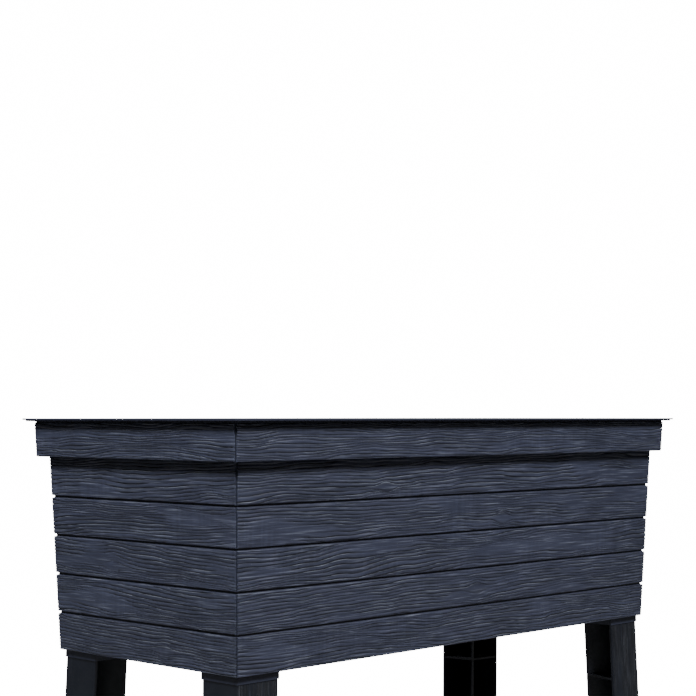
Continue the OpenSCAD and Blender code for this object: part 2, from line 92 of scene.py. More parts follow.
def split(tree, vector):
    return add_node(tree, "ShaderNodeSeparateXYZ", {0: vector}).outputs


def noise_on(tree, place, scale, detail):
    values = {"Vector": place, "Scale": scale, "Detail": detail}
    return add_node(tree, "ShaderNodeTexNoise", values).outputs[0]


def new_group(name, kind, inputs, outputs):
    """A node group with named sockets, and its input and output nodes."""
    tree = bpy.data.node_groups.new(name, kind)
    for label, kind_of_value, value in inputs:
        socket = tree.interface.new_socket(
            name=label, in_out="INPUT", socket_type="NodeSocket" + kind_of_value)
        if value is not None:
            socket.default_value = value
    for label, kind_of_value in outputs:
        tree.interface.new_socket(
            name=label, in_out="OUTPUT", socket_type="NodeSocket" + kind_of_value)
    return tree, tree.nodes.new("NodeGroupInput").outputs, tree.nodes.new("NodeGroupOutput")


def blend_colours(tree, factor, first, second, kind="MIX"):
    colours = {0: factor, 6: first, 7: second}
    return add_node(tree, "ShaderNodeMix", colours, data_type="RGBA", blend_type=kind).outputs[2]


def shaded_by(tree, colour, shade):
    grey = add_node(tree, "ShaderNodeCombineColor", {0: shade, 1: shade, 2: shade}).outputs[0]
    return blend_colours(tree, 1.0, colour, grey, "MULTIPLY")


def moulded_plastic_group():
    """Mould-fresh plastic: cloudy pigment, pale dust specks, dust lying on top faces, fine pores."""
    tree, given, out = new_group(
        "moulded_plastic", "ShaderNodeTree",
        [("Colour", "Color", (0.05, 0.05, 0.05, 1)), ("Cloud", "Float", 0.15), ("Specks", "Float", 0.2),
         ("Dust", "Float", 0.2), ("Rough Low", "Float", 0.4), ("Rough High", "Float", 0.55),
         ("Pore Scale", "Float", 900.0)],
        [("Colour", "Color"), ("Roughness", "Float"), ("Height", "Float")],
    )
    place = tree.nodes.new("ShaderNodeTexCoord").outputs["Object"]
    cloud = noise_on(tree, place, 11.0, 4.0)
    patch = noise_on(tree, place, 47.0, 3.0)
    pores = noise_on(tree, place, given["Pore Scale"], 2.0)
    speck = add_node(tree, "ShaderNodeTexVoronoi", {"Vector": place, "Scale": 330.0}).outputs["Distance"]
    pick = noise_on(tree, place, 140.0, 1.0)
    both = calc(tree, "ADD", calc(tree, "MULTIPLY", cloud, 0.6), calc(tree, "MULTIPLY", patch, 0.4))
    clouded = calc(tree, "MULTIPLY", remap(tree, both, 0.3, 0.7, -1.0, 1.0), given["Cloud"])
    shade = calc(tree, "ADD", 1.0, clouded)
    colour = shaded_by(tree, given["Colour"], shade)
    spot = remap(tree, speck, 0.13, 0.06, 0.0, 1.0)
    spot = calc(tree, "MULTIPLY", spot, remap(tree, pick, 0.58, 0.66, 0.0, 1.0))
    colour = blend_colours(tree, calc(tree, "MULTIPLY", spot, given["Specks"]), colour, (0.42, 0.43, 0.46, 1))
    up = split(tree, tree.nodes.new("ShaderNodeNewGeometry").outputs["Normal"])[2]
    lying = remap(tree, up, 0.5, 1.0, 0.0, 1.0)
    lying = calc(tree, "MULTIPLY", lying, remap(tree, patch, 0.35, 0.65, 0.25, 1.0))
    lying = calc(tree, "MULTIPLY", lying, given["Dust"])
    colour = blend_colours(tree, lying, colour, (0.26, 0.26, 0.27, 1))
    rough = remap(tree, patch, 0.3, 0.7, given["Rough Low"], given["Rough High"])
    rough = calc(tree, "ADD", rough, calc(tree, "MULTIPLY", lying, 0.8))
    tree.links.new(colour, out.inputs["Colour"])
    tree.links.new(rough, out.inputs["Roughness"])
    tree.links.new(calc(tree, "ADD", pores, calc(tree, "MULTIPLY", patch, 0.5)), out.inputs["Height"])
    return tree


moulded_plastic = moulded_plastic_group()


def plastic(name, colour, bump=0.00012, specular=0.5, **values):
    """A moulded plastic of one colour. Returns the material and the nodes that other effects hook into."""
    material = bpy.data.materials.new(name)
    material.use_nodes = True
    tree = material.node_tree
    shader = tree.nodes["Principled BSDF"]
    shader.inputs["Specular IOR Level"].default_value = specular
    skin = add_node(tree, "ShaderNodeGroup", node_tree=moulded_plastic)
    skin.inputs["Colour"].default_value = (*colour, 1.0)
    for label, value in values.items():
        skin.inputs[label.replace("_", " ")].default_value = value
    relief = add_node(tree, "ShaderNodeBump", {
        "Height": skin.outputs["Height"], "Distance": bump, "Strength": 1.0})
    tree.links.new(skin.outputs["Colour"], shader.inputs["Base Color"])
    tree.links.new(skin.outputs["Roughness"], shader.inputs["Roughness"])
    tree.links.new(relief.outputs[0], shader.inputs["Normal"])
    return material, tree, skin, relief, shader


def paint(node, material):
    """Gives a CAD node its finish."""
    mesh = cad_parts[node].data
    mesh.materials.clear()
    mesh.materials.append(material)


rim_z = cad_high[2]
plank_h = 0.0634
groove_h = 0.0024
smooth_charcoal = (0.026, 0.030, 0.051)
# near-black painted shade for the grooves between the planks
groove_shade_colour = (0.004, 0.004, 0.006, 1)
groove_shade_strength = 0.85
planks_start = 1.5
outer_face = 0.05


def tub_plastic():
    """The tub's plastic, smooth, with painted shade darkening it deep in the grooves between its planks."""
    material, tree, skin, _, shader = plastic(
        "charcoal_plastic", smooth_charcoal, bump=0.0002,
        Cloud=0.12, Specks=0.35, Dust=0.05, Rough_Low=0.36, Rough_High=0.48,
    )
    here = split(tree, tree.nodes.new("ShaderNodeTexCoord").outputs["Object"])
    facing = split(tree, tree.nodes.new("ShaderNodeNewGeometry").outputs["Normal"])
    out_x = calc(tree, "MULTIPLY", here[0], facing[0])
    out_y = calc(tree, "MULTIPLY", here[1], facing[1])
    outside = calc(tree, "GREATER_THAN", calc(tree, "ADD", out_x, out_y), outer_face)
    below_rim = calc(tree, "DIVIDE", calc(tree, "SUBTRACT", rim_z, here[2]), plank_h)
    in_groove = calc(tree, "LESS_THAN", calc(tree, "FRACT", below_rim), groove_h / plank_h)
    in_groove = calc(tree, "MULTIPLY", in_groove, outside)
    in_groove = calc(tree, "MULTIPLY", in_groove, calc(tree, "GREATER_THAN", below_rim, planks_start))
    # painted shade: on the outer faces, the grooves between the planks are darkened towards near-black
    painted_groove_shade = calc(tree, "MULTIPLY", in_groove, groove_shade_strength)
    groove_shaded_colour = blend_colours(tree, painted_groove_shade, skin.outputs["Colour"], groove_shade_colour)
    tree.links.new(groove_shaded_colour, shader.inputs["Base Color"])
    return material


paint("tub", tub_plastic())


# Plank faces and rim faces: the outside of the moulding is grained like sawn boards, each with its
# own figure, and a fine parting line runs down each side of every corner. Each grain line is a
# row of the mesh that wanders along its board, so it stays crisp: ridge, lip, bottom, lip, ridge.
def grained_face_tree():
    """A board lying flat: x along it, y up it, z out of it, with its grain lines in relief."""
    numbers = (
        ("Bottom Length", 1.0), ("Top Length", 1.0), ("Height", 0.06),
        ("Line Width", 0.10), ("Depth", 0.0015),
        ("Drift", 1.5), ("Slope", 0.0), ("Knot At", 0.5), ("Knot Line", 4.0), ("Knot Size", 0.0),
        ("Edge", 0.0008), ("Thickness", 0.002), ("Seed", 0.0),
    )
    tree, given, out = new_group(
        "grained_face", "GeometryNodeTree",
        [(label, "Float", value) for label, value in numbers]
        + [("Columns", "Int", 200), ("Lines", "Int", 12), ("Material", "Material", None)],
        [("Geometry", "Geometry")],
    )

    def sum_of(*values):
        total = values[0]
        for value in values[1:]:
            total = calc(tree, "ADD", total, value)
        return total

    def product(*values):
        total = values[0]
        for value in values[1:]:
            total = calc(tree, "MULTIPLY", total, value)
        return total

    def less(first, second):
        return calc(tree, "SUBTRACT", first, second)

    def point(x, y, z):
        return add_node(tree, "ShaderNodeCombineXYZ", {0: x, 1: y, 2: z}).outputs[0]

    def store(geometry, name, value, kind="FLOAT"):
        return add_node(tree, "GeometryNodeStoreNamedAttribute", {
            "Geometry": geometry, "Name": name, "Value": value,
        }, data_type=kind, domain="POINT").outputs[0]

    def noise(x, y, z, detail):
        return less(noise_on(tree, point(x, y, z), 1.0, detail), 0.5)

    # the rows: a few spare lines lie past the board's edges, so that the drift can bring them in
    spare = 5
    lines = sum_of(given["Lines"], 2 * spare)
    grid = add_node(tree, "GeometryNodeMeshGrid", {
        "Size X": 1.0, "Size Y": 1.0,
        "Vertices X": given["Columns"], "Vertices Y": sum_of(product(lines, 4.0), 1.0),
    }).outputs["Mesh"]
    place = split(tree, tree.nodes.new("GeometryNodeInputPosition").outputs[0])
    along = product(place[0], given["Top Length"])
    row = product(sum_of(place[1], 0.5), lines)
    number = calc(tree, "FLOOR", sum_of(row, 0.01))
    off = less(less(row, number), 0.5)
    spread = calc(tree, "ABSOLUTE", off)
    ridge = calc(tree, "GREATER_THAN", spread, 0.3)
    bottom = calc(tree, "LESS_THAN", spread, 0.1)
    lip = less(1.0, calc(tree, "MAXIMUM", ridge, bottom))
    reach = sum_of(product(ridge, 0.5), product(lip, given["Line Width"]))
    line = sum_of(number, 0.5, product(calc(tree, "SIGN", off), reach))

    # the figure: a slow drift, a quicker one, a slope from end to end, and the swell round a knot
    drift = sum_of(
        product(noise(product(along, 3.0), product(line, 0.07), given["Seed"], 2.0), given["Drift"], 4.0),
        product(noise(product(along, 16.0), product(line, 0.13), sum_of(given["Seed"], 31.0), 1.0), 1.3),
        product(place[0], given["Slope"]),
    )
    from_knot = less(less(line, spare), given["Knot Line"])
    along_from_knot = product(less(sum_of(place[0], 0.5), given["Knot At"]), given["Top Length"])
    knot_reach = calc(tree, "DIVIDE", along_from_knot, 0.02)
    swell = product(
        calc(tree, "EXPONENT", product(knot_reach, knot_reach, -1.0)),
        calc(tree, "EXPONENT", product(calc(tree, "ABSOLUTE", from_knot), -0.4)),
        given["Knot Size"], calc(tree, "SIGN", from_knot),
    )
    line_gap = calc(tree, "DIVIDE", given["Height"], given["Lines"])
    up = product(sum_of(less(line, spare), drift, swell), line_gap)
    top_edge = less(given["Height"], given["Edge"])
    height = calc(tree, "MINIMUM", calc(tree, "MAXIMUM", up, given["Edge"]), top_edge)
    inside = product(calc(tree, "GREATER_THAN", up, given["Edge"]), calc(tree, "LESS_THAN", up, top_edge))

    # the relief: each line deepens and fades along its length, and the ridges are slightly crowned
    strength = noise(product(along, 6.0), product(number, 5.37), sum_of(given["Seed"], 11.0), 1.0)
    planed = noise(product(along, 5.0), product(line, 0.17), sum_of(given["Seed"], 55.0), 1.0)
    deep = remap(tree, strength, -0.16, 0.06, 0.30, 1.0)
    deep = product(deep, remap(tree, planed, -0.16, -0.06, 0.08, 1.0))
    groove = product(bottom, inside, deep)
    # where the grain lines' valleys and their lips get painted shade
    shaded = sum_of(groove, product(lip, inside, deep, 0.55))
    # the lower lip of each valley, which faces up, gets a painted highlight
    painted_highlight = product(lip, inside, deep, calc(tree, "LESS_THAN", off, 0.0))
    uneven = noise(product(along, 26.0), product(line, 0.9), sum_of(given["Seed"], 77.0), 1.0)
    relief = sum_of(
        product(ridge, inside, 0.28), product(uneven, inside, 0.3), product(groove, -1.0))
    slant = calc(tree, "DIVIDE", height, given["Height"])
    longer_above = product(less(given["Top Length"], given["Bottom Length"]), slant)
    length = sum_of(given["Bottom Length"], longer_above)
    spot = point(product(place[0], length), height, product(relief, given["Depth"]))
    on_board = point(product(place[0], length), height, given["Seed"])
    face = store(grid, "grain_valley_shade", shaded)
    face = store(face, "grain_lip_highlight", painted_highlight)
    face = store(face, "grain_place", on_board, "FLOAT_VECTOR")
    face = add_node(tree, "GeometryNodeSetPosition", {
        "Geometry": face, "Position": spot}).outputs[0]
    face = add_node(tree, "GeometryNodeMergeByDistance", {
        "Geometry": face, "Distance": 0.00002}).outputs[0]

    # the border: a small rounding, then straight back into the wall
    rounded = product(given["Depth"], -0.9)
    in_wall = product(given["Thickness"], -1.0)
    for out_by, depth in ((given["Edge"], rounded), (0.0, in_wall)):
        faces_here = tree.nodes.new("GeometryNodeInputMeshEdgeNeighbors").outputs[0]
        border = add_node(tree, "FunctionNodeCompare", {
            2: faces_here, 3: 1}, data_type="INT", operation="EQUAL").outputs[0]
        pulled = add_node(tree, "GeometryNodeExtrudeMesh", {
            "Mesh": face, "Selection": border, "Offset Scale": 0.0}, mode="EDGES").outputs
        here = split(tree, tree.nodes.new("GeometryNodeInputPosition").outputs[0])
        middle = product(given["Height"], 0.5)
        rise = less(here[1], middle)
        near_edge = less(middle, product(given["Edge"], 1.01))
        outermost = calc(tree, "GREATER_THAN", calc(tree, "ABSOLUTE", rise), near_edge)
        new_up = sum_of(here[1], product(calc(tree, "SIGN", rise), outermost, out_by))
        moved = point(here[0], new_up, depth)
        face = add_node(tree, "GeometryNodeSetPosition", {
            "Geometry": pulled["Mesh"], "Selection": pulled["Top"], "Position": moved}).outputs[0]
    face = add_node(tree, "GeometryNodeRealizeInstances", {"Geometry": face}).outputs[0]
    face = add_node(tree, "GeometryNodeSetMaterial", {
        "Geometry": face, "Material": given["Material"]}).outputs[0]
    tree.links.new(face, out.inputs["Geometry"])
    return tree


def grown(tree, values):
    """Runs a geometry tree with the values given by input name, and returns the plain mesh."""
    holder = bpy.data.objects.new("holder", bpy.data.meshes.new("holder"))
    bpy.context.collection.objects.link(holder)
    modifier = holder.modifiers.new("shape", "NODES")
    modifier.node_group = tree
    for item in tree.interface.items_tree:
        if item.in_out == "INPUT" and item.name in values:
            modifier[item.identifier] = values[item.name]
    grown_holder = holder.evaluated_get(bpy.context.evaluated_depsgraph_get())
    mesh = bpy.data.meshes.new_from_object(grown_holder)
    holder.modifiers.remove(modifier)
    bpy.data.objects.remove(holder)
    return mesh


def add_piece(name, shapes, material, body, crease=50.0):
    """Joins shapes, each a mesh and where it goes, into one closed piece that rides on a body."""
    joined = bmesh.new()
    for mesh, place in shapes:
        mesh.transform(place)
        joined.from_mesh(mesh)
        bpy.data.meshes.remove(mesh)
    open_edges = [edge for edge in joined.edges if edge.is_boundary]
    if open_edges:
        bmesh.ops.edgeloop_fill(joined, edges=open_edges)
    bmesh.ops.recalc_face_normals(joined, faces=joined.faces)
    for face in joined.faces:
        face.smooth = True
        face.material_index = 0
    mesh = bpy.data.meshes.new(name)
    joined.to_mesh(mesh)
    joined.free()
    mesh.set_sharp_from_angle(angle=math.radians(crease))
    mesh.materials.clear()
    mesh.materials.append(material)
    piece = bpy.data.objects.new(name, mesh)
    bpy.context.collection.objects.link(piece)
    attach(piece, body)
    return piece


def stretch(tree, place, scale, turn=0.0):
    values = {"Vector": place, "Rotation": (0.0, 0.0, turn), "Scale": scale}
    return add_node(tree, "ShaderNodeMapping", values).outputs[0]


# pale blue-grey for painted highlights on the grain's ridges and up-facing lips
lip_highlight_colour = (0.20, 0.22, 0.28, 1)


def grain_wash_group():
    """Grained plastic: painted shade in the grain lines' valleys, fine streaks that run with them, and
    painted highlights on the ridges and on the up-facing lip below each line.
    """
    tree, given, out = new_group(
        "grain_wash", "ShaderNodeTree",
        [("Colour", "Color", (0.05, 0.05, 0.05, 1)), ("Valley Shade", "Float", 0.6), ("Streaks", "Float", 0.25),
         ("Lip Highlight", "Float", 0.2), ("Saw Marks", "Float", 0.0), ("Roughness", "Float", 0.45),
         ("Height", "Float", 0.0)],
        [("Colour", "Color"), ("Roughness", "Float"), ("Height", "Float")],
    )
    line = add_node(tree, "ShaderNodeAttribute", attribute_name="grain_valley_shade").outputs["Fac"]
    groove = remap(tree, line, 0.2, 0.7, 0.0, 1.0)
    edge = add_node(tree, "ShaderNodeAttribute", attribute_name="grain_lip_highlight").outputs["Fac"]
    place = add_node(tree, "ShaderNodeAttribute", attribute_name="grain_place").outputs["Vector"]
    stretched = stretch(tree, place, (16.0, 520.0, 1.0))
    streak = noise_on(tree, stretched, 1.0, 3.0)
    broad = stretch(tree, place, (5.0, 60.0, 1.0))
    patch = noise_on(tree, broad, 1.0, 2.0)
    streaked = remap(tree, streak, 0.3, 0.7, -1.0, 1.0)
    patched = remap(tree, patch, 0.3, 0.7, -0.6, 0.6)
    streaks = calc(tree, "MULTIPLY", calc(tree, "ADD", streaked, patched), given["Streaks"])
    shade = calc(tree, "ADD", 1.0, streaks)
    # painted shade: the grain lines' valleys are darkened
    painted_valley_shade = calc(tree, "MULTIPLY", groove, given["Valley Shade"])
    shade = calc(tree, "MULTIPLY", shade, calc(tree, "SUBTRACT", 1.0, painted_valley_shade))
    sawn = stretch(tree, place, (150.0, 7.0, 1.0), turn=0.12)
    sawn = noise_on(tree, sawn, 1.0, 1.0)
    where = stretch(tree, place, (7.0, 9.0, 1.0))
    where = noise_on(tree, where, 1.0, 0.0)
    sawn = remap(tree, sawn, 0.35, 0.65, -1.0, 1.0)
    sawn = calc(tree, "MULTIPLY", sawn, remap(tree, where, 0.46, 0.60, 0.0, 1.0))
    sawn = calc(tree, "MULTIPLY", sawn, given["Saw Marks"])
    shade = calc(tree, "MULTIPLY", shade, calc(tree, "ADD", 1.0, sawn))
    colour = shaded_by(tree, given["Colour"], shade)
    # painted highlight: pale streaks on the ridges, and the up-facing lower lip under each grain line
    # lightened
    painted_highlight = remap(tree, streak, 0.56, 0.75, 0.0, 0.6)
    painted_highlight = calc(tree, "MULTIPLY", painted_highlight, remap(tree, groove, 0.0, 0.15, 1.0, 0.0))
    lit_lip_highlight = remap(tree, edge, 0.55, 0.95, 0.0, 1.0)
    lit_lip_highlight = calc(tree, "MULTIPLY", lit_lip_highlight, remap(tree, streak, 0.40, 0.58, 0.15, 1.0))
    painted_highlight = calc(tree, "MULTIPLY", calc(tree, "MAXIMUM", painted_highlight, lit_lip_highlight), given["Lip Highlight"])
    colour = blend_colours(tree, painted_highlight, colour, lip_highlight_colour)
    rough = calc(tree, "ADD", given["Roughness"], calc(tree, "MULTIPLY", groove, 0.2))
    rough = calc(tree, "ADD", rough, calc(tree, "MULTIPLY", streaked, 0.05))
    tree.links.new(colour, out.inputs["Colour"])
    tree.links.new(rough, out.inputs["Roughness"])
    fine_relief = calc(tree, "MULTIPLY", streak, 3.0)
    tree.links.new(calc(tree, "ADD", given["Height"], fine_relief), out.inputs["Height"])
    return tree


grained_face = grained_face_tree()
grain_wash = grain_wash_group()


def grained_plastic(name, colour, valley_shade, streaks, lip_highlight, saw_marks, **values):
    """The same plastic where it is moulded with wood grain, with painted shade in the grain's valleys and
    painted highlights on their up-facing lips.
    """
    material, tree, skin, relief, shader = plastic(name, colour, **values)
    wash = add_node(tree, "ShaderNodeGroup", {
        "Valley Shade": valley_shade, "Streaks": streaks, "Lip Highlight": lip_highlight, "Saw Marks": saw_marks,
    }, node_tree=grain_wash)
    for label in ("Colour", "Roughness", "Height"):
        tree.links.new(skin.outputs[label], wash.inputs[label])
    tree.links.new(wash.outputs["Colour"], shader.inputs["Base Color"])
    tree.links.new(wash.outputs["Roughness"], shader.inputs["Roughness"])
    tree.links.new(wash.outputs["Height"], relief.inputs["Height"])
    return material


# the grain's valleys carry painted shade and its up-facing lips painted highlights
charcoal_grain = grained_plastic(
    "charcoal_grain", (0.037, 0.042, 0.069), valley_shade=0.96, streaks=0.20, lip_highlight=0.75, saw_marks=0.09,
    bump=0.00016, specular=0.4, Cloud=0.1, Specks=0.5, Dust=0.06, Rough_Low=0.32, Rough_High=0.42,
)

lean = 0.039
groove_and_bevel = 0.0040
rim_reach = 0.0143
band_step = 0.0153
corner_strip = 0.0015
relief_room = 0.0017
board_thickness = 0.0026
column_step = 0.0036
plank_count = 5
plank_lift = 0.0002
rim_board_lift = 0.0004
flange_room = 0.0070
sides = (
    ("front", 0.0, cad_high[0], cad_high[1]),
    ("right", 90.0, cad_high[1], cad_high[0]),
    ("rear", 180.0, cad_high[0], cad_high[1]),
    ("left", 270.0, cad_high[1], cad_high[0]),
)


def on_side(turn, half_out, inset, z):
    """Where a flat board goes on a leaning side: x runs along the side, y up it and z out of it."""
    tilt = math.atan(lean)
    out_at_z = half_out - inset - lean * (rim_z - z)
    face = Matrix((
        (1.0, 0.0, 0.0, 0.0),
        (0.0, -math.sin(tilt), -math.cos(tilt), -out_at_z),
        (0.0, math.cos(tilt), -math.sin(tilt), z),
        (0.0, 0.0, 0.0, 1.0),
    ))
    return Matrix.Rotation(math.radians(turn), 4, "Z") @ face @ Matrix.Translation((0.0, 0.0, relief_room))


def board(half_along, inset, z0, z1, seed, **figure):
    """One grained board's mesh for the side whose length is twice half_along at the rim."""
    reach = [2.0 * (half_along - inset - lean * (rim_z - z) - corner_strip) for z in (z0, z1)]
    values = {
        "Bottom Length": reach[0], "Top Length": reach[1],
        "Height": (z1 - z0) * math.hypot(1.0, lean), "Thickness": board_thickness,
        "Seed": seed, "Columns": int(reach[1] / column_step), "Material": charcoal_grain,
    }
    values.update(figure)
    return grown(grained_face, values)


plank_inset = rim_reach + band_step
slopes = (-3.0, 2.0, 3.4, -2.2, 1.6)
drifts = (2.4, 1.4, 2.9, 1.8, 2.6)
no_knot = (0.5, 4.0, 0.0)
knots = {
    ("front", 4): (0.30, 5.0, 1.5), ("front", 3): (0.58, 3.0, 1.9), ("front", 1): (0.52, 6.0, 1.6),
    ("right", 3): (0.40, 5.0, 1.7), ("rear", 4): (0.66, 4.0, 1.8), ("rear", 2): (0.25, 5.0, 1.6),
    ("left", 2): (0.35, 4.0, 1.6), ("left", 0): (0.62, 5.0, 1.4),
}
for index, (side, turn, half_along, half_out) in enumerate(sides):
    shapes = []
    for plank in range(plank_count):
        top_plank = plank == plank_count - 1
        low = rim_z - (plank_count + 1 - plank) * plank_h + plank_lift
        high = low + plank_h - (0.0 if top_plank else groove_and_bevel)
        knot_at, knot_line, knot_size = knots.get((side, plank), no_knot)
        shape = board(half_along, plank_inset, low, high, 7.0 * index + 1.9 * plank, **{
            "Slope": slopes[(plank + index) % len(slopes)],
            "Drift": drifts[(plank + 2 * index) % len(drifts)],
            "Knot At": knot_at, "Knot Line": knot_line, "Knot Size": knot_size,
        })
        shapes.append((shape, on_side(turn, half_out, plank_inset, low)))
    add_piece(side + "_planks", shapes, charcoal_grain, "planter")

    low = rim_z - plank_h + rim_board_lift
    high = rim_z - flange_room
    shape = board(half_along, rim_reach, low, high, 50.0 + 3.1 * index, Slope=1.0 - 0.8 * index, Drift=2.6)
    shapes = [(shape, on_side(turn, half_out, rim_reach, low))]
    add_piece(side + "_rim_board", shapes, charcoal_grain, "planter")


# Legs: four mouldings in polypropylene coloured darker than the tub's, partly as painted shade from the tub
# above them, each two outer walls braced by a diagonal web and by cross plates, with grain on the wall
# towards the front or the rear.
# They splay outwards, and plug into the collars under the tub.
# the legs' colour is darkened partly as painted shade from the tub above them
leg_colour_with_shade = (0.0066, 0.0086, 0.0150)
leg_plastic = plastic(
    "leg_plastic", leg_colour_with_shade,
    Cloud=0.12, Specks=0.25, Dust=0.05, Rough_Low=0.38, Rough_High=0.52,
)[0]
# the leg grain's valleys carry painted shade and its up-facing lips painted highlights
leg_grain = grained_plastic(
    "leg_grain", leg_colour_with_shade, valley_shade=0.92, streaks=0.25, lip_highlight=0.30, saw_marks=0.0,
    bump=0.00014, Cloud=0.1, Specks=0.3, Dust=0.1, Rough_Low=0.42, Rough_High=0.5,
)
splay = 0.034
wall_w = 0.082
grain_margin = 0.0015
grain_lift = 0.0006
wall_low, wall_high = 0.0015, 0.3636
upright = math.hypot(1.0, splay, splay)
wall_length = (wall_high - wall_low) * upright
legs = (
    ("front_left_leg", -1, -1), ("front_right_leg", 1, -1),
    ("rear_left_leg", -1, 1), ("rear_right_leg", 1, 1),
)
for index, (leg, side_x, side_y) in enumerate(legs):
    paint(leg, leg_plastic)
    shape = grown(grained_face, {
        "Bottom Length": wall_length, "Top Length": wall_length,
        "Height": wall_w - 2.0 * grain_margin, "Thickness": 0.0012, "Edge": 0.0004,
        "Lines": 22, "Line Width": 0.16, "Depth": 0.00045, "Drift": 1.0,
        "Seed": 80.0 + 7.0 * index, "Columns": 100, "Material": leg_grain,
    })
    # the grain runs up the leg: the board's length follows the leaning corner, its height crosses the wall
    low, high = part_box(leg)
    middle_z = (wall_low + wall_high) / 2.0
    corner_x = (low[0] if side_x < 0 else high[0]) - side_x * splay * middle_z
    corner_y = (low[1] if side_y < 0 else high[1]) - side_y * splay * middle_z
    first_edge = wall_w - grain_margin if side_x == side_y else grain_margin
    up_leg = (-side_x * splay / upright, -side_y * splay / upright, 1.0 / upright)
    outwards = (0.0, side_y / math.hypot(1.0, splay), splay / math.hypot(1.0, splay))
    place = Matrix((
        (up_leg[0], side_y, outwards[0], corner_x - side_x * first_edge),
        (up_leg[1], 0.0, outwards[1], corner_y + side_y * grain_lift),
        (up_leg[2], 0.0, outwards[2], middle_z),
        (0.0, 0.0, 0.0, 1.0),
    ))
    add_piece(leg + "_grain", [(shape, place)], leg_grain, "planter")


# Leg screws: zinc-plated pan heads with a cross slot, two up through each leg's top plate into the
# bosses above the tub's floor.
def scuff_group():
    """Fine handling scratches in two directions, as a mask and as a height."""
    tree, given, out = new_group(
        "scuffs", "ShaderNodeTree", [("Scale", "Float", 1.0), ("Amount", "Float", 0.5)],
        [("Mask", "Float"), ("Height", "Float")],
    )
    place = tree.nodes.new("ShaderNodeTexCoord").outputs["Object"]
    total = 0.0
    for turn in (0.5, 2.1):
        turned = add_node(tree, "ShaderNodeMapping", {
            "Vector": place, "Rotation": (turn, 0.4 * turn, turn)}).outputs[0]
        drawn = add_node(tree, "ShaderNodeVectorMath", {
            0: turned, 1: (40.0, 1500.0, 1500.0)}, operation="MULTIPLY").outputs[0]
        drawn = add_node(tree, "ShaderNodeVectorMath", {
            0: drawn, "Scale": given["Scale"]}, operation="SCALE").outputs[0]
        line = noise_on(tree, drawn, 1.0, 1.0)
        total = calc(tree, "ADD", total, remap(tree, line, 0.66, 0.74, 0.0, 1.0))
    mask = calc(tree, "MULTIPLY", calc(tree, "MINIMUM", total, 1.0), given["Amount"])
    tree.links.new(mask, out.inputs["Mask"])
    tree.links.new(calc(tree, "MULTIPLY", mask, -1.0), out.inputs["Height"])
    return tree


scuffs = scuff_group()


def scuffed(name, colour, scuff_colour, rough, scuff_rough, amount, scale, metal=0.0, clear=0.0):
    """A smooth finish that shows the scratches of handling."""
    material = bpy.data.materials.new(name)
    material.use_nodes = True
    tree = material.node_tree
    shader = tree.nodes["Principled BSDF"]
    shader.inputs["Metallic"].default_value = metal
    shader.inputs["Transmission Weight"].default_value = clear
    place = tree.nodes.new("ShaderNodeTexCoord").outputs["Object"]
    cloud = noise_on(tree, place, 160.0, 3.0)
    marks = add_node(tree, "ShaderNodeGroup", {"Scale": scale, "Amount": amount}, node_tree=scuffs)
    scuff_colour = (*scuff_colour, 1.0)
    base = blend_colours(tree, remap(tree, cloud, 0.3, 0.7, 0.0, 0.25), (*colour, 1.0), scuff_colour)
    base = blend_colours(tree, marks.outputs["Mask"], base, scuff_colour)
    tree.links.new(base, shader.inputs["Base Color"])
    roughness = calc(tree, "ADD", remap(tree, cloud, 0.3, 0.7, rough - 0.05, rough + 0.05),
                     calc(tree, "MULTIPLY", marks.outputs["Mask"], scuff_rough))
    tree.links.new(roughness, shader.inputs["Roughness"])
    relief = add_node(tree, "ShaderNodeBump", {
        "Height": marks.outputs["Height"], "Distance": 0.00003, "Strength": 1.0})
    tree.links.new(relief.outputs[0], shader.inputs["Normal"])
    return material


zinc_steel = scuffed(
    "zinc_steel", (0.55, 0.56, 0.57), (0.75, 0.76, 0.77),
    rough=0.34, scuff_rough=0.15, amount=0.6, scale=2.0, metal=1.0,
)
for leg, _, _ in legs:
    paint(leg + "_screws", zinc_steel)


# Drainage grids: two black slotted plates on crossed feet, which hold the soil above the reservoir
# and lift straight out. Each has a square opening for its wick basket.
black_plastic = plastic(
    "black_plastic", (0.012, 0.012, 0.014),
    Cloud=0.12, Specks=0.3, Dust=0.05, Rough_Low=0.40, Rough_High=0.52,
)[0]
paint("left_grid", black_plastic)
paint("right_grid", black_plastic)


# Wick baskets: black tapered baskets with slotted walls, hung by their flanges in the grids'
# openings, whose soil draws water up from the reservoir.
paint("left_wick_basket", black_plastic)
paint("right_wick_basket", black_plastic)


# Water gauge: a black tube clipped through the left grid. A foam float on a white rod lifts a red
# flag into the clear cap, whose skirt slips over the tube.
paint("gauge_tube", black_plastic)


def foam():
    """Closed-cell foam: pale, matt, made of small cells."""
    material = bpy.data.materials.new("float_foam")
    material.use_nodes = True
    tree = material.node_tree
    shader = tree.nodes["Principled BSDF"]
    shader.inputs["Roughness"].default_value = 0.85
    place = tree.nodes.new("ShaderNodeTexCoord").outputs["Object"]
    cells = add_node(tree, "ShaderNodeTexVoronoi", {"Vector": place, "Scale": 900.0}).outputs["Distance"]
    cloud = noise_on(tree, place, 90.0, 3.0)
    tone = calc(tree, "ADD", calc(tree, "MULTIPLY", cells, 0.6), calc(tree, "MULTIPLY", cloud, 0.4))
    tone = remap(tree, tone, 0.2, 0.7, 0.0, 1.0)
    colour = blend_colours(tree, tone, (0.86, 0.86, 0.82, 1), (0.66, 0.65, 0.60, 1))
    tree.links.new(colour, shader.inputs["Base Color"])
    relief = add_node(tree, "ShaderNodeBump", {"Height": cells, "Distance": 0.0002, "Strength": 1.0})
    tree.links.new(relief.outputs[0], shader.inputs["Normal"])
    return material


